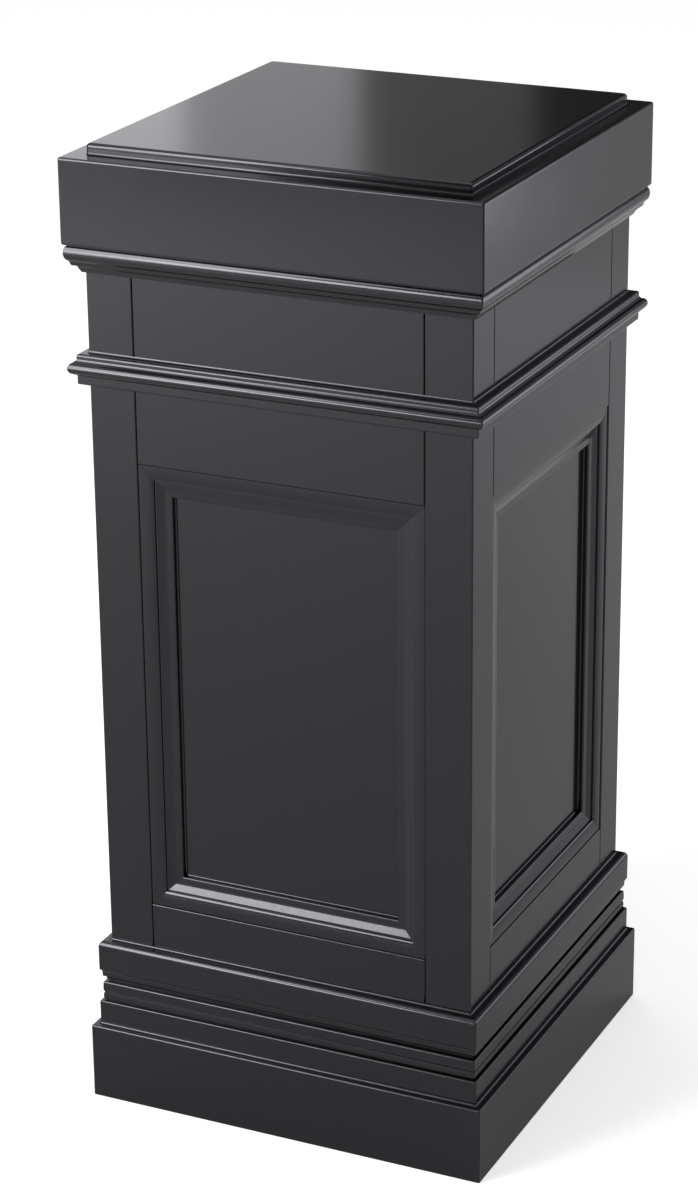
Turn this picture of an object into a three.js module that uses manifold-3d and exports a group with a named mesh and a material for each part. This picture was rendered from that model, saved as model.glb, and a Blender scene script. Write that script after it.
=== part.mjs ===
// Display plinth: a square column of frame-and-panel joinery with a deep cap and a moulded base.
// Millimetres, +Z up, origin on the floor under the middle of the column. The front faces -Y.
import * as THREE from "three";
import { mergeVertices } from "three/addons/utils/BufferGeometryUtils.js";
import Module from "manifold-3d";

// ---- Driving dimensions ------------------------------------------------------------------------
const HEIGHT = 1000;
const GAP = 0.3; // air left at each glued or planted joint
const BODY_HALF = 198.5; // half the width over the posts and rails
const CAP_HALF = 215;
const SLAB_HALF = 195;
const PLINTH_HALF = 216;

const SLAB_LOW = 989.3;
const CAP_LOW = 905;
const CAP_TOP = 989;
const FASCIA_THICK = 28;
const REBATE_WIDE = 8; // the fascia's rebates that take the deck and the soffit
const REBATE_DEEP = 18;

const POST_WIDE = 48.5;
const POST_LOW = 1;
const RAIL_THICK = 34;
const PANEL_DEPTH = 14; // from the body's face back to the panel's face
const PANEL_THICK = 9;
const GROOVE_DEEP = 9;
const TONGUE_LONG = 8.5;
const JOINT_BEVEL = 0.9; // half the width of the V joint between post and rail
const OPENING_LOW = 224;
const OPENING_TOP = 692;
const RAIL_SPLIT = 782; // the top rail's top edge, behind the mid moulding
const BOTTOM_RAIL_LOW = 40;

const PLINTH_TOP = 81;
const BASE_FILLET_TOP = 107.5;
const REED_TOP = 128.5;
const BASE_CAP_TOP = 174.4;
const BOTTOM_BOARD_LOW = 58;
const BOTTOM_BOARD_THICK = 18;

const SCREW_TIP = 872.5;
const SCREW_TOP = 922.4;
const SCREW_RADIUS = 2.5;
const SCREW_HEAD_RADIUS = 4.75;

// Values that follow from those above.
const QUARTER = Math.PI / 2;
const PLANTED_BACK = BODY_HALF + GAP; // the back of everything planted on the body
const OPENING_HALF = BODY_HALF - POST_WIDE;
const POST_MIDDLE = BODY_HALF - POST_WIDE / 2;
const MITRE_SETBACK = (GAP / 2) * Math.SQRT2;
const SIDES = ["front", "right", "back", "left"];
const CORNERS = ["front_left", "front_right", "back_right", "back_left"];

const wasm = await Module();
wasm.setup();

// ---- Materials ---------------------------------------------------------------------------------
function satinLacquer() {
  return new THREE.MeshStandardMaterial({ color: 0x2b2b2e, roughness: 0.32, metalness: 0 });
}

function bareBoard() {
  return new THREE.MeshStandardMaterial({ color: 0xb08f66, roughness: 0.75, metalness: 0 });
}

function zincSteel() {
  return new THREE.MeshStandardMaterial({ color: 0xb9b6ac, roughness: 0.38, metalness: 1 });
}

// ---- Shared shapes -----------------------------------------------------------------------------
function solidOf(geometry) {
  const bare = geometry.clone();
  bare.deleteAttribute("normal");
  bare.deleteAttribute("uv");
  const merged = mergeVertices(bare, 1e-3);
  const mesh = new wasm.Mesh({
    numProp: 3,
    vertProperties: merged.attributes.position.array,
    triVerts: new Uint32Array(merged.index.array),
  });
  return new wasm.Manifold(mesh);
}

function geometryOf(solid) {
  const mesh = solid.getMesh();
  const geometry = new THREE.BufferGeometry();
  geometry.setAttribute("position", new THREE.BufferAttribute(mesh.vertProperties, 3));
  geometry.setIndex(new THREE.BufferAttribute(mesh.triVerts, 1));
  geometry.computeVertexNormals();
  return geometry;
}

function block(xLow, xHigh, yLow, yHigh, zLow, zHigh) {
  const box = new THREE.BoxGeometry(xHigh - xLow, yHigh - yLow, zHigh - zLow);
  return box.translate((xLow + xHigh) / 2, (yLow + yHigh) / 2, (zLow + zHigh) / 2);
}

// A board or post with the outline given in plan, from zLow up to zHigh.
function upright(outline, zLow, zHigh) {
  const options = { depth: zHigh - zLow, bevelEnabled: false, curveSegments: 4 };
  return new THREE.ExtrudeGeometry(outline, options).translate(0, 0, zLow);
}

function turned(profile, segments) {
  const points = profile.map(([radius, z]) => new THREE.Vector2(radius, z));
  return new THREE.LatheGeometry(points, segments).rotateX(QUARTER);
}

// A length of moulding along the front, mitred at both ends.
// The profile is drawn in (distance out from the middle of the column, height).
function mitredLength(profile, curveSegments) {
  const options = { depth: 1, bevelEnabled: false, curveSegments };
  const geometry = new THREE.ExtrudeGeometry(profile, options);
  const place = geometry.attributes.position;
  for (let i = 0; i < place.count; i += 1) {
    const out = place.getX(i);
    const height = place.getY(i);
    const end = 1 - 2 * place.getZ(i);
    place.setXYZ(i, end * (out - MITRE_SETBACK), -out, height);
  }
  geometry.computeVertexNormals();
  return geometry;
}

// A square of moulding round an opening in the front, mitred at its four corners.
// The profile is drawn in (distance in from the frame's outer edge, height above the panel's face).
function mitredFrame(profile, half, zLow, zHigh, panelFace) {
  const points = profile.getPoints(5);
  if (points[0].distanceTo(points[points.length - 1]) < 1e-6) points.pop();
  const count = points.length;
  const places = [];
  for (const [across, up] of [[-1, -1], [1, -1], [1, 1], [-1, 1]]) {
    for (const point of points) {
      const z = up < 0 ? zLow + point.x : zHigh - point.x;
      places.push(across * (half - point.x), panelFace - point.y, z);
    }
  }
  const index = [];
  for (let corner = 0; corner < 4; corner += 1) {
    const here = corner * count;
    const next = ((corner + 1) % 4) * count;
    for (let i = 0; i < count; i += 1) {
      const j = (i + 1) % count;
      index.push(here + i, next + i, next + j);
      index.push(here + i, next + j, here + j);
    }
  }
  const geometry = new THREE.BufferGeometry();
  geometry.setAttribute("position", new THREE.Float32BufferAttribute(places, 3));
  geometry.setIndex(index);
  geometry.computeVertexNormals();
  return geometry;
}

// ---- Cap ---------------------------------------------------------------------------------------
// A square board with a rounded top edge.
function topSlab() {
  const round = 3.5;
  const rounded = [0, 1, 2, 3, 4].map((step) => {
    const angle = (step * QUARTER) / 4;
    return [SLAB_HALF - round + round * Math.cos(angle), HEIGHT - round + round * Math.sin(angle)];
  });
  const section = [[0, SLAB_LOW], [SLAB_HALF, SLAB_LOW], ...rounded, [0, HEIGHT]];
  const corners = section.map(([half, z]) => [half * Math.SQRT2, z]);
  return turned(corners, 4).rotateZ(QUARTER / 2);
}

function capDeck() {
  const half = CAP_HALF - FASCIA_THICK + REBATE_WIDE - GAP;
  return block(-half, half, -half, half, CAP_TOP - REBATE_DEEP + GAP, CAP_TOP);
}

// The board under the cap, with a countersunk hole over each post.
function capSoffit() {
  const half = CAP_HALF - FASCIA_THICK + REBATE_WIDE - GAP;
  const top = CAP_LOW + REBATE_DEEP - GAP;
  const holeRadius = SCREW_RADIUS + 0.4;
  const slopeLow = SCREW_TOP - (SCREW_HEAD_RADIUS - SCREW_RADIUS);
  const hole = turned(
    [
      [0, CAP_LOW - 2],
      [holeRadius, CAP_LOW - 2],
      [holeRadius, slopeLow],
      [holeRadius + top + 1 - slopeLow, top + 1],
      [0, top + 1],
    ],
    24,
  );
  let board = solidOf(block(-half, half, -half, half, CAP_LOW, top));
  for (const x of [-POST_MIDDLE, POST_MIDDLE]) {
    for (const y of [-POST_MIDDLE, POST_MIDDLE]) {
      board = board.subtract(solidOf(hole.clone().translate(x, y, 0)));
    }
  }
  return geometryOf(board);
}

function capScrew() {
  const screw = turned(
    [
      [0, SCREW_TIP],
      [SCREW_RADIUS, SCREW_TIP + 5],
      [SCREW_RADIUS, SCREW_TOP - (SCREW_HEAD_RADIUS - SCREW_RADIUS)],
      [SCREW_HEAD_RADIUS, SCREW_TOP],
      [0, SCREW_TOP],
    ],
    24,
  );
  return screw.translate(-POST_MIDDLE, -POST_MIDDLE, 0);
}

function fasciaProfile() {
  const round = 2.2;
  const inner = CAP_HALF - FASCIA_THICK;
  const rebate = inner + REBATE_WIDE;
  const shape = new THREE.Shape();
  shape.moveTo(rebate, CAP_LOW);
  shape.lineTo(CAP_HALF - round, CAP_LOW);
  shape.absarc(CAP_HALF - round, CAP_LOW + round, round, -QUARTER, 0, false);
  shape.absarc(CAP_HALF - round, CAP_TOP - round, round, 0, QUARTER, false);
  shape.lineTo(rebate, CAP_TOP);
  shape.lineTo(rebate, CAP_TOP - REBATE_DEEP);
  shape.lineTo(inner, CAP_TOP - REBATE_DEEP);
  shape.lineTo(inner, CAP_LOW + REBATE_DEEP);
  shape.lineTo(rebate, CAP_LOW + REBATE_DEEP);
  return shape;
}

// A narrow neck, a shallow bead, a small cove and a thin lower edge.
function corniceProfile() {
  const top = CAP_LOW - GAP;
  const shape = new THREE.Shape();
  shape.moveTo(PLANTED_BACK, top);
  shape.lineTo(209.6, top);
  shape.lineTo(209.6, 903.8);
  shape.absellipse(210.2, 896.9, 3.7, 7.2, 1.31, -1.31, true);
  shape.quadraticCurveTo(209.5, 888.6, 209.2, 886.6);
  shape.lineTo(208.2, 884.6);
  shape.quadraticCurveTo(204.2, 884.2, 203.4, 880.6);
  shape.lineTo(202.6, 879.4);
  shape.lineTo(201.6, 877.2);
  shape.lineTo(PLANTED_BACK, 877.2);
  return shape;
}

// ---- Body --------------------------------------------------------------------------------------
// The front left post in plan: a rounded arris, two bevelled joint edges and a groove in each inner face.
function postOutline() {
  const round = 1.5;
  const inner = POST_WIDE - GAP / 2;
  const grooveFront = PANEL_DEPTH - GAP;
  const grooveBack = PANEL_DEPTH + PANEL_THICK + GAP;
  const grooveFloor = inner - GROOVE_DEEP;
  const side = [
    [inner - JOINT_BEVEL, 0],
    [inner, JOINT_BEVEL],
    [inner, grooveFront],
    [grooveFloor, grooveFront],
    [grooveFloor, grooveBack],
    [inner, grooveBack],
  ];
  const otherSide = side.map(([across, back]) => [back, across]).reverse();
  const shape = new THREE.Shape();
  const corner = -BODY_HALF;
  shape.moveTo(corner + round, corner);
  for (const [across, back] of [...side, [inner, inner], ...otherSide]) {
    shape.lineTo(corner + across, corner + back);
  }
  shape.absarc(corner + round, corner + round, round, 2 * QUARTER, 3 * QUARTER, false);
  return shape;
}

function post() {
  const top = CAP_LOW - GAP;
  const pilot = turned([[0, SCREW_TIP - 2], [2.8, SCREW_TIP - 2], [2.8, top + 5], [0, top + 5]], 24);
  const hole = solidOf(pilot.translate(-POST_MIDDLE, -POST_MIDDLE, 0));
  return geometryOf(solidOf(upright(postOutline(), POST_LOW, top)).subtract(hole));
}

// A front rail in plan: bevelled joint edges in front and a tongue on each end.
function railOutline() {
  const end = OPENING_HALF - GAP / 2;
  const front = -BODY_HALF;
  const tongueFront = front + PANEL_DEPTH;
  const rightEnd = [
    [end - JOINT_BEVEL, front],
    [end, front + JOINT_BEVEL],
    [end, tongueFront],
    [end + TONGUE_LONG, tongueFront],
    [end + TONGUE_LONG, tongueFront + PANEL_THICK],
    [end, tongueFront + PANEL_THICK],
    [end, front + RAIL_THICK],
  ];
  const leftEnd = rightEnd.map(([x, y]) => [-x, y]).reverse();
  return new THREE.Shape([...rightEnd, ...leftEnd].map(([x, y]) => new THREE.Vector2(x, y)));
}

// The groove that a rail's edge holds the panel in.
function panelGroove(zLow, zHigh) {
  const front = -BODY_HALF + PANEL_DEPTH - GAP;
  const back = -BODY_HALF + PANEL_DEPTH + PANEL_THICK + GAP;
  return solidOf(block(-BODY_HALF, BODY_HALF, front, back, zLow, zHigh));
}

function frieze() {
  return upright(railOutline(), RAIL_SPLIT + GAP, CAP_LOW - GAP);
}

function topRail() {
  const groove = panelGroove(OPENING_TOP - 1, OPENING_TOP + GROOVE_DEEP);
  return geometryOf(solidOf(upright(railOutline(), OPENING_TOP, RAIL_SPLIT)).subtract(groove));
}

function bottomRail() {
  const rail = solidOf(upright(railOutline(), BOTTOM_RAIL_LOW, OPENING_LOW));
  const groove = panelGroove(OPENING_LOW - GROOVE_DEEP, OPENING_LOW + 1);
  const back = -BODY_HALF + RAIL_THICK;
  const boardLow = BOTTOM_BOARD_LOW - GAP;
  const boardTop = BOTTOM_BOARD_LOW + BOTTOM_BOARD_THICK + GAP;
  const housing = block(-BODY_HALF, BODY_HALF, back - GROOVE_DEEP, back + 1, boardLow, boardTop);
  return geometryOf(rail.subtract(groove).subtract(solidOf(housing)));
}

function panel() {
  const half = OPENING_HALF + TONGUE_LONG;
  const front = -BODY_HALF + PANEL_DEPTH;
  const low = OPENING_LOW - TONGUE_LONG;
  return block(-half, half, front, front + PANEL_THICK, low, OPENING_TOP + TONGUE_LONG);
}

// A broad ovolo, a small step, a cavetto, a flat and a rounded lip.
function panelMouldingProfile() {
  const back = GAP;
  const lipRound = 1.2;
  const above = (depth) => PANEL_DEPTH - depth; // depths are from the body's face
  const shape = new THREE.Shape();
  shape.moveTo(0, back);
  shape.lineTo(0, above(1.3));
  shape.absellipse(0, above(4.4), 14.6, 3.1, QUARTER, 0.14, true);
  shape.lineTo(14.5, above(4.8));
  shape.lineTo(16.7, above(5.2));
  shape.quadraticCurveTo(19.5, above(6.5), 25.2, above(7.75));
  shape.lineTo(27.6, above(8.05));
  shape.lineTo(32.2 - lipRound, above(8.4));
  shape.absarc(32.2 - lipRound, above(8.4 + lipRound), lipRound, QUARTER, 0, true);
  shape.lineTo(32.2, back);
  return shape;
}

function panelMoulding() {
  const half = OPENING_HALF - GAP / 2;
  const panelFace = -BODY_HALF + PANEL_DEPTH;
  return mitredFrame(panelMouldingProfile(), half, OPENING_LOW + GAP, OPENING_TOP - GAP, panelFace);
}

// The mid moulding: a small fillet below, a half round, and a flat ledge on top.
function midMouldingProfile() {
  const shape = new THREE.Shape();
  shape.moveTo(PLANTED_BACK, 767.2);
  shape.lineTo(205.6, 767.2);
  shape.absarc(205.6, 768.7, 1.5, -QUARTER, 0, false);
  shape.lineTo(207.1, 775.8);
  shape.absarc(208, 782, 6.2, -QUARTER, QUARTER, false);
  shape.lineTo(207.3, 788.2);
  shape.absarc(204.8, 794.9, 2.5, 0, QUARTER, false);
  shape.lineTo(PLANTED_BACK, 797.4);
  return shape;
}

// ---- Base --------------------------------------------------------------------------------------
// A flat band with a rounded top edge, and a cove under it.
function baseCapProfile() {
  const shape = new THREE.Shape();
  shape.moveTo(PLANTED_BACK, REED_TOP + GAP);
  shape.lineTo(201.6, REED_TOP + GAP);
  shape.lineTo(201.6, 130.5);
  shape.lineTo(203, 130.5);
  shape.quadraticCurveTo(203.4, 134.4, 206.3, 135);
  shape.lineTo(206.4, 139);
  shape.quadraticCurveTo(206.8, 141.8, 208.6, 143);
  shape.absellipse(203.6, 168.5, 5, BASE_CAP_TOP - 168.5, 0, QUARTER, false);
  shape.lineTo(PLANTED_BACK, BASE_CAP_TOP);
  return shape;
}

// Two shallow reeds, the upper one under a rounded edge.
function reedProfile() {
  const shape = new THREE.Shape();
  shape.moveTo(PLANTED_BACK, BASE_FILLET_TOP + GAP);
  shape.lineTo(204.4, BASE_FILLET_TOP + GAP);
  shape.lineTo(204.4, 109.2);
  shape.lineTo(205.8, 109.2);
  shape.quadraticCurveTo(208.8, 113.2, 205, 117.6);
  shape.lineTo(205, 118.2);
  shape.quadraticCurveTo(206.2, 119.4, 206.1, 121.6);
  shape.lineTo(206, 124.5);
  shape.absellipse(203, 124.5, 3, REED_TOP - 124.5, 0, QUARTER, false);
  shape.lineTo(PLANTED_BACK, REED_TOP);
  return shape;
}

function baseFilletProfile() {
  const shape = new THREE.Shape();
  shape.moveTo(PLANTED_BACK, PLINTH_TOP + GAP);
  shape.lineTo(208.9, PLINTH_TOP + GAP);
  shape.absarc(207.4, BASE_FILLET_TOP - 1.5, 1.5, 0, QUARTER, false);
  shape.lineTo(PLANTED_BACK, BASE_FILLET_TOP);
  return shape;
}

function plinthBoardProfile() {
  const shape = new THREE.Shape();
  shape.moveTo(PLANTED_BACK, 0);
  shape.lineTo(PLINTH_HALF, 0);
  shape.absarc(PLINTH_HALF - 2, PLINTH_TOP - 2, 2, 0, QUARTER, false);
  shape.lineTo(PLANTED_BACK, PLINTH_TOP);
  return shape;
}

// A cross in plan: its arms are housed in the rails and its corners are notched round the posts.
function bottomBoard() {
  const waist = OPENING_HALF - GAP / 2;
  const reach = BODY_HALF - RAIL_THICK + TONGUE_LONG;
  const shape = new THREE.Shape();
  const arm = [[-waist, -reach], [waist, -reach], [waist, -waist]];
  for (let side = 0; side < 4; side += 1) {
    for (const [x, y] of arm) {
      const point = new THREE.Vector2(x, y).rotateAround(new THREE.Vector2(), side * QUARTER);
      if (side === 0 && x === -waist) shape.moveTo(point.x, point.y);
      else shape.lineTo(point.x, point.y);
    }
  }
  return upright(shape, BOTTOM_BOARD_LOW, BOTTOM_BOARD_LOW + BOTTOM_BOARD_THICK);
}

// ---- Assembly ----------------------------------------------------------------------------------
const group = new THREE.Group();

function add(name, geometry, material) {
  const mesh = new THREE.Mesh(geometry, material);
  mesh.name = name;
  group.add(mesh);
}

// The same piece on each side, or at each corner, a quarter turn apart.
function addAround(name, places, geometry, material) {
  places.forEach((place, turn) => {
    add(`${name}_${place}`, geometry.clone().rotateZ(turn * QUARTER), material());
  });
}

add("top_slab", topSlab(), satinLacquer());
add("cap_deck", capDeck(), bareBoard());
add("cap_soffit", capSoffit(), bareBoard());
addAround("cap_screw", CORNERS, capScrew(), zincSteel);
addAround("cap_fascia", SIDES, mitredLength(fasciaProfile(), 4), satinLacquer);
addAround("cornice", SIDES, mitredLength(corniceProfile(), 6), satinLacquer);

addAround("post", CORNERS, post(), satinLacquer);
addAround("frieze", SIDES, frieze(), satinLacquer);
addAround("top_rail", SIDES, topRail(), satinLacquer);
addAround("bottom_rail", SIDES, bottomRail(), satinLacquer);
addAround("panel", SIDES, panel(), satinLacquer);
addAround("panel_moulding", SIDES, panelMoulding(), satinLacquer);
addAround("mid_moulding", SIDES, mitredLength(midMouldingProfile(), 8), satinLacquer);

addAround("base_cap", SIDES, mitredLength(baseCapProfile(), 5), satinLacquer);
addAround("reed_moulding", SIDES, mitredLength(reedProfile(), 5), satinLacquer);
addAround("base_fillet", SIDES, mitredLength(baseFilletProfile(), 4), satinLacquer);
addAround("plinth_board", SIDES, mitredLength(plinthBoardProfile(), 4), satinLacquer);
add("bottom_board", bottomBoard(), bareBoard());

export default group;
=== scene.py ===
"""Display plinth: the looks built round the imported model. Metres, +Z up, the front faces -Y."""
import math

import bmesh
import bpy
from mathutils import Matrix, Vector


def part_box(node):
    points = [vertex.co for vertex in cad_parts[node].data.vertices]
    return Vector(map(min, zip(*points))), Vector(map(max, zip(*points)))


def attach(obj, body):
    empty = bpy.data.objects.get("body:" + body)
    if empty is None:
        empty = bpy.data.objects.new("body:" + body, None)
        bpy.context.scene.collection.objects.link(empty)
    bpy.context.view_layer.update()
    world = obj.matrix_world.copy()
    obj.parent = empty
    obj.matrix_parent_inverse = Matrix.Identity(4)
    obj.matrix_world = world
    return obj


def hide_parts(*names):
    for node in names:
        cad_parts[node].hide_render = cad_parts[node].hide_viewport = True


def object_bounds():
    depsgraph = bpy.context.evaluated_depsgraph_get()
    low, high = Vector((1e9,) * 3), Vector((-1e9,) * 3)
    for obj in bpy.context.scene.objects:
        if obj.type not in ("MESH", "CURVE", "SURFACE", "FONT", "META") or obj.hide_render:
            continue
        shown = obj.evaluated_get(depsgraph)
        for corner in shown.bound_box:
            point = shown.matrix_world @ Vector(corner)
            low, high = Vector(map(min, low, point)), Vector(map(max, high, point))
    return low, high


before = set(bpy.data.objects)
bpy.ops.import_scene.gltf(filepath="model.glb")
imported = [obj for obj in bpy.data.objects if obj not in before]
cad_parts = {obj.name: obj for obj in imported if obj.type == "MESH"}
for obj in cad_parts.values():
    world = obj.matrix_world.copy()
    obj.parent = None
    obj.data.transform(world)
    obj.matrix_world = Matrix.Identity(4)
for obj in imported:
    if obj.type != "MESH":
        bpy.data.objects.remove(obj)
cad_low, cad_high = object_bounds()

MM = 0.001
SIDES = ("front", "right", "back", "left")
CORNERS = ("front_left", "front_right", "back_right", "back_left")
QUARTER = math.pi / 2
SHARP_ANGLE = math.radians(33)  # faces that meet at this angle or more keep a hard edge between them
CORNER_STEPS = 4  # steps round each corner of the top board, and round each end of a mitred length
SAME_POINT = 0.01  # millimetres: two points of a profile this close are one
HOLD = 0.5  # millimetres: a point this far in from each end of a long flat keeps its shading flat
RUN_HOLD = 0.995  # the part of a mitred length's half run that does the same along it
MITRE_GAP = 0.06  # millimetres, from the mitre's own plane to the wood
EASED = 0.45  # millimetres, off each hard edge of the flat pieces
HEIGHT = cad_high.z - cad_low.z  # metres
BODY = -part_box("post_front_left")[0].y / MM  # millimetres: half the width over the posts


# ---- Profiles ----------------------------------------------------------------------------------
class Outline:
    """A closed profile in millimetres, drawn point by point."""

    def __init__(self, x, y):
        self.points = [(x, y)]

    def line(self, x, y):
        self.points.append((x, y))
        return self

    def arc(self, x, y, across, up, start, end, steps=6):
        """Part of an ellipse round (x, y), from one angle to another, in degrees."""
        for i in range(steps + 1):
            angle = math.radians(start + (end - start) * i / steps)
            self.points.append((x + across * math.cos(angle), y + up * math.sin(angle)))
        return self

    def curve(self, pull_x, pull_y, x, y, steps=6):
        """A bend from the last point to (x, y), drawn towards (pull_x, pull_y)."""
        from_x, from_y = self.points[-1]
        for i in range(1, steps + 1):
            t = i / steps
            a, b, c = (1 - t) ** 2, 2 * t * (1 - t), t * t
            self.points.append((a * from_x + b * pull_x + c * x, a * from_y + b * pull_y + c * y))
        return self

    def closed(self):
        """The points once round, with none doubled and a holding point near each end of a long flat."""
        kept = []
        for point in self.points:
            if not kept or math.dist(point, kept[-1]) > SAME_POINT:
                kept.append(point)
        if math.dist(kept[0], kept[-1]) < SAME_POINT:
            kept.pop()
        out = []
        for here, there in zip(kept, kept[1:] + kept[:1]):
            out.append(here)
            length = math.dist(here, there)
            if length > 5 * HOLD:
                for t in (HOLD / length, 1 - HOLD / length):
                    out.append((here[0] + t * (there[0] - here[0]), here[1] + t * (there[1] - here[1])))
        return out


def mark_sharp(bm):
    """Shades the faces smooth, with the sharp edges kept hard."""
    for face in bm.faces:
        face.smooth = True
    for edge in bm.edges:
        edge.smooth = len(edge.link_faces) == 2 and edge.calc_face_angle(0) < SHARP_ANGLE


def as_object(name, bm, material):
    mesh = bpy.data.meshes.new(name)
    bm.to_mesh(mesh)
    bm.free()
    mesh.materials.append(material)
    obj = bpy.data.objects.new(name, mesh)
    bpy.context.scene.collection.objects.link(obj)
    return obj


def add_ring_solid(bm, rings, ends=True):
    """Skins a solid over rings of points that all have the same count."""
    made = [[bm.verts.new(point) for point in ring] for ring in rings]
    count = len(made[0])
    for a, b in zip(made, made[1:]):
        for i in range(count):
            j = (i + 1) % count
            bm.faces.new((a[i], a[j], b[j], b[i]))
    if ends:
        bm.faces.new(list(reversed(made[0])))
        bm.faces.new(made[-1])
    return made


def finished(name, bm, material, nodes, turn=0):
    """Makes a piece of the mesh, so many quarter turns round the column, in place of its CAD nodes."""
    bmesh.ops.recalc_face_normals(bm, faces=bm.faces)
    bm.transform(Matrix.Rotation(turn * QUARTER, 4, "Z"))
    mark_sharp(bm)
    obj = as_object(name, bm, material)
    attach(obj, "root")
    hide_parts(*nodes)


# ---- Materials ---------------------------------------------------------------------------------
def new_material(name):
    material = bpy.data.materials.new(name)
    material.use_nodes = True
    tree = material.node_tree
    tree.nodes.clear()
    output = tree.nodes.new("ShaderNodeOutputMaterial")
    shader = tree.nodes.new("ShaderNodeBsdfPrincipled")
    tree.links.new(shader.outputs["BSDF"], output.inputs["Surface"])
    return material, tree, shader


def noise(tree, where, scale, detail=3, roughness=0.5):
    node = tree.nodes.new("ShaderNodeTexNoise")
    node.inputs["Scale"].default_value = scale
    node.inputs["Detail"].default_value = detail
    node.inputs["Roughness"].default_value = roughness
    tree.links.new(where, node.inputs["Vector"])
    return node.outputs["Fac"]


def spread(tree, value, low, high, start=0.3, end=0.7):
    """Maps a noise's usual range onto low to high."""
    node = tree.nodes.new("ShaderNodeMapRange")
    node.inputs["From Min"].default_value = start
    node.inputs["From Max"].default_value = end
    node.inputs["To Min"].default_value = low
    node.inputs["To Max"].default_value = high
    tree.links.new(value, node.inputs["Value"])
    return node.outputs["Result"]


def blend_colours(tree, factor, low, high):
    node = tree.nodes.new("ShaderNodeMix")
    node.data_type = "RGBA"
    node.inputs["A"].default_value = (*low, 1)
    node.inputs["B"].default_value = (*high, 1)
    tree.links.new(factor, node.inputs["Factor"])
    return node.outputs["Result"]


def darkened(tree, colour, amount, shade):
    """Multiplies a colour by a shade, as far as the amount says."""
    node = tree.nodes.new("ShaderNodeMix")
    node.data_type = "RGBA"
    node.blend_type = "MULTIPLY"
    node.inputs["B"].default_value = (*shade, 1)
    tree.links.new(amount, node.inputs["Factor"])
    tree.links.new(colour, node.inputs["A"])
    return node.outputs["Result"]


def bump(tree, height, strength, distance, normal=None):
    """A height map in metres, over any normal given."""
    node = tree.nodes.new("ShaderNodeBump")
    node.inputs["Strength"].default_value = strength
    node.inputs["Distance"].default_value = distance
    tree.links.new(height, node.inputs["Height"])
    if normal is not None:
        tree.links.new(normal, node.inputs["Normal"])
    return node.outputs["Normal"]


def satin_lacquer():
    """Sprayed black lacquer: a fine orange peel, a slow drift in sheen and a little dust under the film."""
    material, tree, shader = new_material("satin_black_lacquer")
    where = tree.nodes.new("ShaderNodeTexCoord").outputs["Object"]
    drift = noise(tree, where, scale=7, detail=2)
    mottle = noise(tree, where, scale=120, detail=4, roughness=0.6)
    peel = noise(tree, where, scale=520, detail=2)
    nibs = noise(tree, where, scale=2600, detail=1)
    darkest = (0.0020, 0.0020, 0.0023)
    lightest = (0.0030, 0.0030, 0.0034)
    colour = blend_colours(tree, spread(tree, mottle, low=0, high=1), darkest, lightest)
    tree.links.new(colour, shader.inputs["Base Color"])
    rough = tree.nodes.new("ShaderNodeMath")
    rough.operation = "ADD"
    tree.links.new(spread(tree, drift, low=0.14, high=0.165), rough.inputs[0])
    tree.links.new(spread(tree, mottle, low=-0.012, high=0.012), rough.inputs[1])
    tree.links.new(rough.outputs[0], shader.inputs["Roughness"])
    dusty = bump(tree, nibs, strength=0.05, distance=0.00003)
    surface = bump(tree, peel, strength=0.10, distance=0.00008, normal=dusty)
    tree.links.new(surface, shader.inputs["Normal"])
    shader.inputs["IOR"].default_value = 1.45
    shader.inputs["Specular Tint"].default_value = (0.91, 0.90, 1.0, 1)
    return material


def bare_board():
    """Birch ply: long grain with darker streaks, open pores, and veneers that show on the edges."""
    material, tree, shader = new_material("bare_board")
    coordinates = tree.nodes.new("ShaderNodeTexCoord").outputs["Object"]
    stretched = tree.nodes.new("ShaderNodeMapping")
    stretched.inputs["Scale"].default_value = (1, 14, 1)
    tree.links.new(coordinates, stretched.inputs["Vector"])
    grain = noise(tree, stretched.outputs["Vector"], scale=9, detail=6, roughness=0.62)
    pores = noise(tree, stretched.outputs["Vector"], scale=70)
    layers = tree.nodes.new("ShaderNodeTexWave")
    layers.bands_direction = "Z"
    layers.inputs["Scale"].default_value = 110
    layers.inputs["Distortion"].default_value = 0.6
    tree.links.new(coordinates, layers.inputs["Vector"])
    brown, straw = (0.30, 0.17, 0.075), (0.52, 0.35, 0.19)
    colour = blend_colours(tree, spread(tree, grain, low=0, high=1), brown, straw)
    in_pores = spread(tree, pores, low=0, high=0.5, start=0.55, end=0.75)
    colour = darkened(tree, colour, in_pores, (0.72, 0.66, 0.6))
    in_layers = spread(tree, layers.outputs["Fac"], low=0, high=0.5)
    colour = darkened(tree, colour, in_layers, (0.7, 0.6, 0.5))
    tree.links.new(colour, shader.inputs["Base Color"])
    tree.links.new(spread(tree, grain, low=0.62, high=0.78), shader.inputs["Roughness"])
    tree.links.new(bump(tree, grain, strength=0.15, distance=0.0004), shader.inputs["Normal"])
    return material


def zinc_steel():
    """Zinc plate over turned steel, with fine turning marks and a slight yellow cast."""
    material, tree, shader = new_material("zinc_plated_steel")
    where = tree.nodes.new("ShaderNodeTexCoord").outputs["Object"]
    cast = noise(tree, where, scale=300)
    turning = noise(tree, where, scale=4000, detail=1)
    grey, yellow = (0.50, 0.49, 0.45), (0.62, 0.60, 0.52)
    colour = blend_colours(tree, spread(tree, cast, low=0, high=1), grey, yellow)
    tree.links.new(colour, shader.inputs["Base Color"])
    tree.links.new(spread(tree, cast, low=0.28, high=0.42), shader.inputs["Roughness"])
    tree.links.new(bump(tree, turning, strength=0.08, distance=0.00004), shader.inputs["Normal"])
    shader.inputs["Metallic"].default_value = 1
    return material


LACQUER = satin_lacquer()
BOARD = bare_board()
ZINC = zinc_steel()


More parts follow.
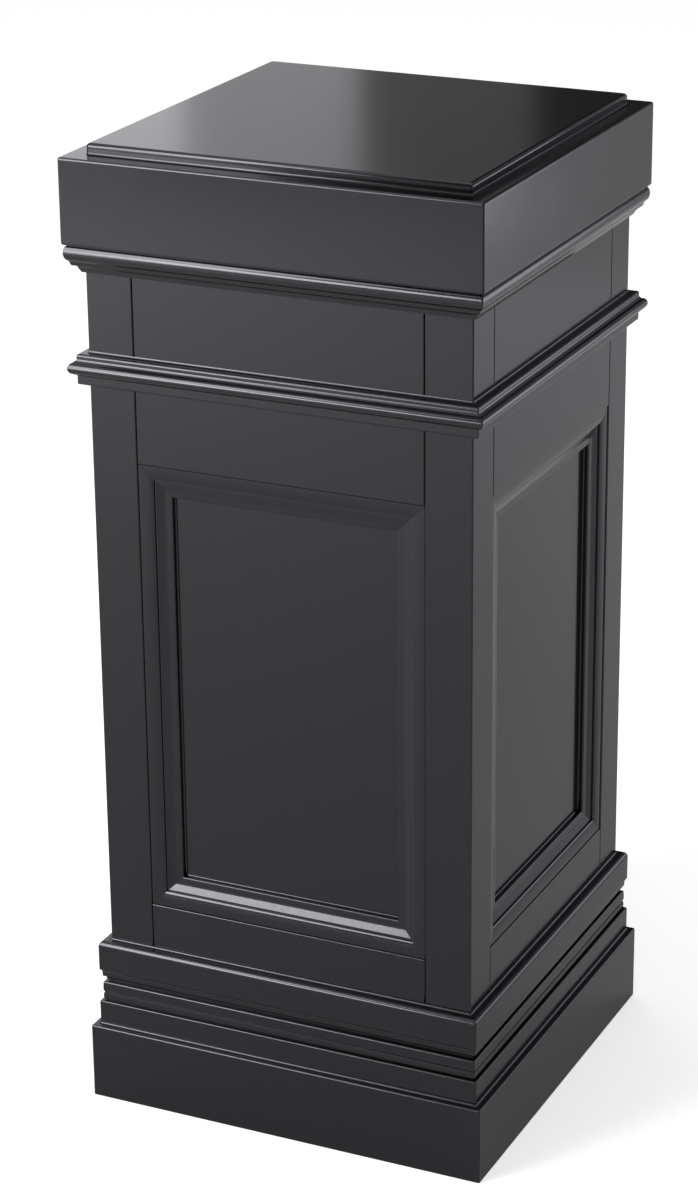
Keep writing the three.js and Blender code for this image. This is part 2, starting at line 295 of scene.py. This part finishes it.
# ---- Mitred lengths ----------------------------------------------------------------------------
def side_stations():
    """Where a mitred length has its cross sections: (angle round the corner, part of the half run)."""
    turn_in = [(-QUARTER / 2 * (1 - i / CORNER_STEPS), -1) for i in range(CORNER_STEPS + 1)]
    turn_out = [(QUARTER / 2 * i / CORNER_STEPS, 1) for i in range(CORNER_STEPS + 1)]
    return turn_in + [(0, -RUN_HOLD), (0, RUN_HOLD)] + turn_out


def mitred_length(bm, points, corner):
    """Sweeps the profile along the front, mitred at both ends, with outer corners of the radius given.
    Each point is (distance out from the middle, height), in millimetres."""
    rings = []
    stations = side_stations()
    for index, (angle, part) in enumerate(stations):
        at_mitre = index in (0, len(stations) - 1)
        ring = []
        for out, up in points:
            straight = out - corner
            x = part * straight + corner * math.sin(angle)
            y = -(straight + corner * math.cos(angle))
            if at_mitre:
                x -= math.copysign(MITRE_GAP, x)
            ring.append((x * MM, y * MM, up * MM))
        rings.append(ring)
    add_ring_solid(bm, rings)


def mitred_sides(node, outline, corner=0.8):
    """The same moulding on all four sides, with outer corners of the radius given. The outline's points
    are (out from the body's face, up from the piece's foot)."""
    for turn, side in enumerate(SIDES):
        name = f"{node}_{side}"
        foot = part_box(name)[0].z / MM
        points = [(BODY + x, foot + y) for x, y in outline.closed()]
        bm = bmesh.new()
        mitred_length(bm, points, corner)
        finished(f"{name}_finished", bm, LACQUER, [name], turn)


# ---- Cap ---------------------------------------------------------------------------------------
def square_ring(half, z, corner):
    """A square in plan with rounded corners, in millimetres."""
    ring = []
    reach = half - corner
    for turn in range(4):
        middle = turn * QUARTER + QUARTER / 2
        for step in range(CORNER_STEPS + 1):
            angle = turn * QUARTER + step * QUARTER / CORNER_STEPS
            x = reach * math.copysign(1, math.cos(middle)) + corner * math.cos(angle)
            y = reach * math.copysign(1, math.sin(middle)) + corner * math.sin(angle)
            ring.append((x * MM, y * MM, z * MM))
    return ring


def top_slab():
    """The raised board: a small paint cove at its foot and a rounded top edge."""
    low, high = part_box("top_slab")
    half, foot, top = high.x / MM, low.z / MM, high.z / MM
    clearance, skirt = 0.04, 2
    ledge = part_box("cap_fascia_front")[1].z / MM + clearance
    cove, cove_steps = 1.9, 6
    edge, edge_steps = 3.4, 8
    corner = 2.4
    section = [(half - skirt, foot), (half - skirt, ledge), (half + cove, ledge)]
    for step in range(1, cove_steps + 1):
        angle = step * QUARTER / cove_steps
        section.append((half + cove - cove * math.sin(angle), ledge + cove - cove * math.cos(angle)))
    section.append((half, ledge + cove + HOLD))
    section.append((half, top - edge - HOLD))
    for step in range(edge_steps + 1):
        angle = step * QUARTER / edge_steps
        section.append((half - edge + edge * math.cos(angle), top - edge + edge * math.sin(angle)))
    section.append((half - edge - HOLD, top))
    bm = bmesh.new()
    rings = [square_ring(out, z, min(corner + max(0, out - half), out)) for out, z in section]
    add_ring_solid(bm, rings)
    finished("top_slab_finished", bm, LACQUER, ["top_slab"])


def fascia_outline():
    """A deep plain board, rounded at both outer edges and rebated inside for the deck and the soffit."""
    low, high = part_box("cap_fascia_front")
    deep = (high.z - low.z) / MM
    outer = -low.y / MM - BODY
    thick, thick_at_rebate, rebate_deep, edge = 28, 20, 18, 2.1
    inner, rebate = outer - thick, outer - thick_at_rebate
    outline = Outline(rebate, 0).line(outer - edge, 0)
    outline.arc(outer - edge, edge, edge, edge, -90, 0)
    outline.arc(outer - edge, deep - edge, edge, edge, 0, 90)
    outline.line(rebate, deep).line(rebate, deep - rebate_deep).line(inner, deep - rebate_deep)
    return outline.line(inner, rebate_deep).line(rebate, rebate_deep)


def cornice_outline():
    """From the top: a half round, a narrow band, a hollow and a small step."""
    outline = Outline(0.3, 27.4).line(11.1, 27.4).line(11.1, 26.6)
    outline.arc(11.7, 19.7, 3.7, 7.2, 75, -75, 12)
    outline.curve(11.0, 11.4, 10.7, 9.4)
    outline.line(10.4, 8.2).line(9.7, 7.4)
    outline.curve(5.7, 7.0, 4.9, 3.4, 8)
    return outline.line(4.1, 2.2).line(3.1, 0).line(0.3, 0)


def mid_moulding_outline():
    """A fillet, a half round, a flat band, and a paint cove where the ledge meets the frieze."""
    outline = Outline(0.3, 0).line(7.0, 0)
    outline.arc(7.1, 1.5, 1.5, 1.5, -90, 0)
    outline.line(8.6, 9.0)
    outline.arc(9.4, 16.4, 6.3, 6.3, -78, 50, 14)
    outline.curve(9.6, 22.0, 8.8, 24.9, 6)
    outline.arc(6.3, 27.7, 2.5, 2.5, 0, 90)
    outline.line(1.9, 30.2)
    outline.arc(1.9, 32.0, 1.8, 1.8, -90, -180, 5)
    return outline.line(0.06, 32.0).line(0.06, 30.5).line(0.3, 30.0)


# ---- Base --------------------------------------------------------------------------------------
def base_cap_outline():
    """A flat band with a rounded top edge, a cove below it and a paint cove where its top meets the body."""
    outline = Outline(0.3, 0).line(3.1, 0).line(3.1, 1.7).line(4.5, 1.7)
    outline.curve(4.9, 5.6, 7.8, 6.2)
    outline.line(7.9, 10.2)
    outline.curve(8.3, 13.0, 10.1, 14.2)
    outline.arc(5.1, 39.7, 5.0, 5.9, 0, 90, 10)
    outline.line(2.0, 45.6)
    outline.arc(2.0, 47.5, 1.9, 1.9, -90, -180, 5)
    return outline.line(0.06, 47.5).line(0.06, 45.9).line(0.3, 45.4)


def reed_outline():
    """A low reed and a taller one with a rounded top, parted by a narrow groove."""
    outline = Outline(0.3, 0).line(5.9, 0).line(5.9, 1.4).line(7.3, 1.4)
    outline.curve(7.9, 4.2, 7.1, 7.6, 8)
    outline.line(6.3, 8.2).line(6.4, 8.6)
    outline.curve(7.6, 9.4, 7.7, 12.0)
    outline.line(7.5, 18.8)
    outline.arc(5.6, 18.8, 1.9, 1.9, 0, 90, 8)
    return outline.line(0.3, 20.7)


def base_fillet_outline():
    """A flat strip with a rounded top edge, and a paint cove where it meets the plinth board."""
    outline = Outline(0.3, 0.3).line(12.3, -0.25)
    outline.arc(12.3, 1.65, 1.9, 1.9, -90, -180, 5)
    outline.arc(8.9, 24.7, 1.5, 1.5, 0, 90)
    return outline.line(0.3, 26.2)


def plinth_board_outline():
    """A plain board, rounded at the top edge and eased at the floor."""
    low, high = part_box("plinth_board_front")
    outer = -low.y / MM - BODY
    top = high.z / MM
    edge, foot = 2.0, 0.5
    outline = Outline(0.3, 0).line(outer - foot, 0).line(outer, foot)
    outline.arc(outer - edge, top - edge, edge, edge, 0, 90)
    return outline.line(0.3, top)


# ---- Body --------------------------------------------------------------------------------------
def panel_moulding(turn, side):
    """Four mitred lengths round the panel: an ovolo, a quirk, a sloping hollow, a flat, a rounded lip and
    a paint cove. The profile's points are (in from the opening's edge, back from the body's face)."""
    name = f"panel_moulding_{side}"
    low_corner, high_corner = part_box("panel_moulding_front")
    half, low, top = high_corner.x / MM, low_corner.z / MM, high_corner.z / MM
    back = BODY + high_corner.y / MM
    panel_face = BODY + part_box("panel_front")[0].y / MM - MITRE_GAP
    wide, lip_deep, lip, cove = 32.2, 8.4, 1.5, 1.3
    profile = Outline(0, back).line(0, 1.7).line(0.3, 1.3)
    profile.arc(0, 4.4, 15.6, 3.1, -88, -14, 9)
    profile.line(15.2, 5.0).line(16.9, 5.05).line(17.0, 5.4)
    profile.line(23.8, 7.75).curve(25.0, 8.1, 27.8, 8.15, 4)
    profile.line(wide - lip, lip_deep)
    profile.arc(wide - lip, lip_deep + lip, lip, lip, -90, 0)
    profile.arc(wide + cove, panel_face - cove, cove, cove, 180, 90, 5)
    profile.line(wide, panel_face)
    points = profile.closed()
    bm = bmesh.new()
    for end in ("low", "top", "left", "right"):
        rings = []
        for way in (-1, 1):
            ring = []
            for inward, deep in points:
                if end in ("low", "top"):
                    x = way * (half - inward - MITRE_GAP)
                    z = low + inward if end == "low" else top - inward
                else:
                    x = (half - inward) * (1 if end == "right" else -1)
                    z = low + inward + MITRE_GAP if way < 0 else top - inward - MITRE_GAP
                ring.append((x * MM, (deep - BODY) * MM, z * MM))
            rings.append(ring)
        add_ring_solid(bm, rings)
    finished(f"{name}_finished", bm, LACQUER, [name], turn)


def softened(node, material, arris=None):
    """The CAD solid with its hard edges eased. An arris that is rounded more is given as (its height, its
    face's distance from the middle, the width taken off), in metres."""
    bm = bmesh.new()
    bm.from_mesh(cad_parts[node].data)
    bmesh.ops.remove_doubles(bm, verts=bm.verts, dist=1e-6)
    bmesh.ops.dissolve_limit(bm, angle_limit=math.radians(1), verts=bm.verts, edges=bm.edges)
    if arris:
        height, face, wide = arris
        edges = [edge for edge in bm.edges if is_front_edge(edge, height, face)]
        bmesh.ops.bevel(bm, geom=edges, offset=wide, segments=4, profile=0.5, affect="EDGES")
    mark_sharp(bm)
    obj = as_object(f"{node}_finished", bm, material)
    eased = obj.modifiers.new("eased", "BEVEL")
    eased.width = EASED * MM
    eased.segments = 2
    eased.limit_method = "ANGLE"
    eased.angle_limit = SHARP_ANGLE
    flat = obj.modifiers.new("flat", "WEIGHTED_NORMAL")
    flat.keep_sharp = False
    graph = bpy.context.evaluated_depsgraph_get()
    mesh = bpy.data.meshes.new_from_object(obj.evaluated_get(graph), depsgraph=graph)
    obj.modifiers.clear()
    obj.data = mesh
    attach(obj, "root")
    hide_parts(node)


def is_front_edge(edge, height, face):
    """Whether an edge lies at that height on the outer face of its side of the column."""
    near = 0.01 * MM
    for vertex in edge.verts:
        if abs(vertex.co.z - height) > near:
            return False
        if max(abs(vertex.co.x), abs(vertex.co.y)) < face - near:
            return False
    return True


def cap_screw(corner):
    """A countersunk wood screw: a crossed recess, a plain shank and a coarse thread below it."""
    name = f"cap_screw_{corner}"
    low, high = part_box(name)
    middle = (low + high) / 2
    head = (high.x - low.x) / 2 / MM
    length = (high.z - low.z) / MM
    shank, root, tip, pitch = 2.5, 1.75, 0.25, 2.2
    under_head, shank_end, thread_start, thread_end = length - 2.6, length - 16, length - 17, 6
    around, rings_a_turn = 24, 6
    ridge = 0.22  # half the width of the thread's ridge, as a part of the pitch
    section = [(head - 0.9, length), (head - 0.15, length), (head, length - 0.25)]
    section += [(shank, under_head), (shank, shank_end), (root, thread_start)]
    angles = [i * math.tau / around for i in range(around)]
    rings = [[at_radius(radius, angle, z) for angle in angles] for radius, z in section]
    thread_rings = int((thread_start - thread_end) / pitch * rings_a_turn)
    for step in range(1, thread_rings + 1):
        z = thread_start - step * pitch / rings_a_turn
        ring = []
        for angle in angles:
            phase = (z / pitch - angle / math.tau) % 1
            crest = max(0, 1 - abs(phase - 0.5) / ridge)
            ring.append(at_radius(root + (shank - root) * crest, angle, z))
        rings.append(ring)
    rings.append([at_radius(tip, angle, 0) for angle in angles])
    rings.reverse()
    bm = bmesh.new()
    made = add_ring_solid(bm, rings, ends=False)
    bm.faces.new(list(reversed(made[0])))
    close_head(bm, made[-1], angles, length)
    bm.transform(Matrix.Translation((middle.x, middle.y, low.z)))
    finished(f"{name}_finished", bm, ZINC, [name])


def at_radius(radius, angle, z):
    """A point round the screw's own axis: millimetres in, metres out."""
    return (radius * math.cos(angle) * MM, radius * math.sin(angle) * MM, z * MM)


def close_head(bm, rim, angles, length):
    """Closes the head's top with a four-armed recess that tapers to a point."""
    hub, arm, narrowing = 0.9, 1.5, 0.55
    floor_deep, point_deep = 1.4, 2.2
    middle = bm.verts.new((0, 0, (length - point_deep) * MM))
    inner, floor = [], []
    for angle in angles:
        reach = hub + arm * abs(math.cos(2 * angle)) ** 6
        inner.append(bm.verts.new(at_radius(reach, angle, length)))
        floor.append(bm.verts.new(at_radius(reach * narrowing, angle, length - floor_deep)))
    around = len(angles)
    for i in range(around):
        j = (i + 1) % around
        bm.faces.new((rim[i], rim[j], inner[j], inner[i]))
        bm.faces.new((inner[i], inner[j], floor[j], floor[i]))
        bm.faces.new((floor[i], floor[j], middle))


def build_object():
    top_slab()
    mitred_sides("cap_fascia", fascia_outline(), corner=1.6)
    mitred_sides("cornice", cornice_outline())
    mitred_sides("mid_moulding", mid_moulding_outline())
    mitred_sides("base_cap", base_cap_outline())
    mitred_sides("reed_moulding", reed_outline())
    mitred_sides("base_fillet", base_fillet_outline())
    mitred_sides("plinth_board", plinth_board_outline(), corner=1.2)
    face, arris_wide = BODY * MM, 1.2 * MM
    for turn, side in enumerate(SIDES):
        panel_moulding(turn, side)
        softened(f"frieze_{side}", LACQUER)
        top_arris = (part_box(f"top_rail_{side}")[0].z, face, arris_wide)
        low_arris = (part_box(f"bottom_rail_{side}")[1].z, face, arris_wide)
        softened(f"top_rail_{side}", LACQUER, top_arris)
        softened(f"bottom_rail_{side}", LACQUER, low_arris)
        softened(f"panel_{side}", LACQUER)
    for corner in CORNERS:
        softened(f"post_{corner}", LACQUER)
        cap_screw(corner)
    for node in ("cap_deck", "cap_soffit", "bottom_board"):
        softened(node, BOARD)


# ---- Camera, floor and light -------------------------------------------------------------------
def make_camera():
    """A long lens a little above the object, turned to its right."""
    azimuth, elevation, roll = math.radians(25.19), math.radians(21.30), math.radians(-0.56)
    distance, aside, raised = 3.377 * HEIGHT, -0.019 * HEIGHT, 0.005 * HEIGHT
    back = Vector((math.sin(azimuth) * math.cos(elevation), -math.cos(azimuth) * math.cos(elevation), 0))
    back.z = math.sin(elevation)
    right = Vector((math.cos(azimuth), math.sin(azimuth), 0))
    up = back.cross(right)
    place = back * distance + right * aside + up * raised + Vector((0, 0, HEIGHT / 2))
    turned_right = right * math.cos(roll) + up * math.sin(roll)
    turned_up = up * math.cos(roll) - right * math.sin(roll)
    data = bpy.data.cameras.new("camera")
    data.sensor_width = 36
    data.lens = 100.4
    data.clip_start = 0.1
    data.clip_end = 200
    camera = bpy.data.objects.new("camera", data)
    rows = Matrix((turned_right, turned_up, back)).transposed().to_4x4()
    camera.matrix_world = Matrix.Translation(place) @ rows
    bpy.context.scene.collection.objects.link(camera)
    bpy.context.scene.camera = camera


WARM = (1.0, 0.99, 0.97)
COOL = (0.97, 0.97, 1.0)
VIOLET = (0.92, 0.91, 1.0)
DEEP_VIOLET = (0.90, 0.89, 1.0)


def soft_box(name, start, end, low, high, glow, colour, away=3.2):
    """An upright panel of light that faces the object: from start to end in degrees round from the front,
    positive to the right, from low to high in metres, and so far away in metres. The glow is its radiance."""
    middle = math.radians((start + end) / 2)
    wide = 2 * away * math.tan(math.radians(end - start) / 2)
    data = bpy.data.lights.new(name, "AREA")
    data.shape = "RECTANGLE"
    data.size = wide
    data.size_y = high - low
    data.energy = math.pi * wide * (high - low) * glow
    data.color = colour
    obj = bpy.data.objects.new(name, data)
    inward = Vector((-math.sin(middle), math.cos(middle), 0))
    obj.location = -inward * away + Vector((0, 0, (low + high) / 2))
    obj.rotation_euler = inward.to_track_quat("-Z", "Y").to_euler()
    obj.visible_camera = False
    bpy.context.scene.collection.objects.link(obj)


def make_floor():
    """A wide pale floor just under the object. A glow that only the camera sees lifts it to near white, so
    it doesn't flood the lacquer."""
    half_size, below = 90, 0.0002
    bm = bmesh.new()
    bmesh.ops.create_grid(bm, x_segments=1, y_segments=1, size=half_size)
    material, tree, shader = new_material("pale_floor")
    shader.inputs["Base Color"].default_value = (0.67, 0.67, 0.67, 1)
    shader.inputs["Roughness"].default_value = 0.9
    shader.inputs["Specular IOR Level"].default_value = 0.2
    shader.inputs["Emission Color"].default_value = (0.5, 0.5, 0.5, 1)
    direct = tree.nodes.new("ShaderNodeLightPath").outputs["Is Camera Ray"]
    tree.links.new(direct, shader.inputs["Emission Strength"])
    floor = as_object("floor", bm, material)
    floor.location.z = cad_low.z - below


def make_world():
    """A studio lit from a broad ceiling and dim down to the horizon. The camera itself sees it white."""
    dim_below, bright_above = math.radians(35), math.radians(62)
    world = bpy.data.worlds.new("studio")
    bpy.context.scene.world = world
    world.use_nodes = True
    tree = world.node_tree
    tree.nodes.clear()
    output = tree.nodes.new("ShaderNodeOutputWorld")
    seen = tree.nodes.new("ShaderNodeBackground")
    lit = tree.nodes.new("ShaderNodeBackground")
    seen.inputs["Color"].default_value = (1, 1, 1, 1)
    lit.inputs["Color"].default_value = (1, 1, 1, 1)
    parts = tree.nodes.new("ShaderNodeSeparateXYZ")
    ceiling = tree.nodes.new("ShaderNodeMapRange")
    ceiling.interpolation_type = "SMOOTHSTEP"
    ceiling.inputs["From Min"].default_value = math.sin(dim_below)
    ceiling.inputs["From Max"].default_value = math.sin(bright_above)
    ceiling.inputs["To Min"].default_value = 0.04
    ceiling.inputs["To Max"].default_value = 1.4
    tree.links.new(tree.nodes.new("ShaderNodeTexCoord").outputs["Generated"], parts.inputs[0])
    tree.links.new(parts.outputs["Z"], ceiling.inputs["Value"])
    tree.links.new(ceiling.outputs["Result"], lit.inputs["Strength"])
    path = tree.nodes.new("ShaderNodeLightPath")
    mix = tree.nodes.new("ShaderNodeMixShader")
    tree.links.new(path.outputs["Is Camera Ray"], mix.inputs["Fac"])
    tree.links.new(lit.outputs[0], mix.inputs[1])
    tree.links.new(seen.outputs[0], mix.inputs[2])
    tree.links.new(mix.outputs[0], output.inputs["Surface"])


def make_lights():
    """A tall key at the front left, soft boxes behind on the left for the top, and dim fill on the right."""
    key_away = 4.2
    soft_box("key_high", -47, -26, low=1.2, high=4.4, glow=12.5, colour=WARM, away=key_away)
    soft_box("key_low", -47, -29, low=0.25, high=1.2, glow=13, colour=WARM, away=key_away)
    soft_box("key_strip", -29, -18, low=0.66, high=1.7, glow=16, colour=WARM, away=key_away)
    soft_box("back_left", -149, -131, low=1.0, high=3.1, glow=1.4, colour=COOL)
    soft_box("back_middle", -155, -149, low=1.0, high=3.1, glow=0.7, colour=COOL)
    soft_box("back_far", -161, -155, low=1.0, high=3.1, glow=0.15, colour=COOL)
    soft_box("right_side", 65, 100, low=1.0, high=2.6, glow=1.0, colour=VIOLET)
    soft_box("back_right", 122, 152, low=0.05, high=1.1, glow=2.2, colour=DEEP_VIOLET)
    soft_box("back_right_high", 122, 170, low=1.1, high=3.4, glow=0.35, colour=VIOLET)


build_object()
make_camera()
make_floor()
make_world()
make_lights()
bpy.context.scene.view_settings.view_transform = "Standard"
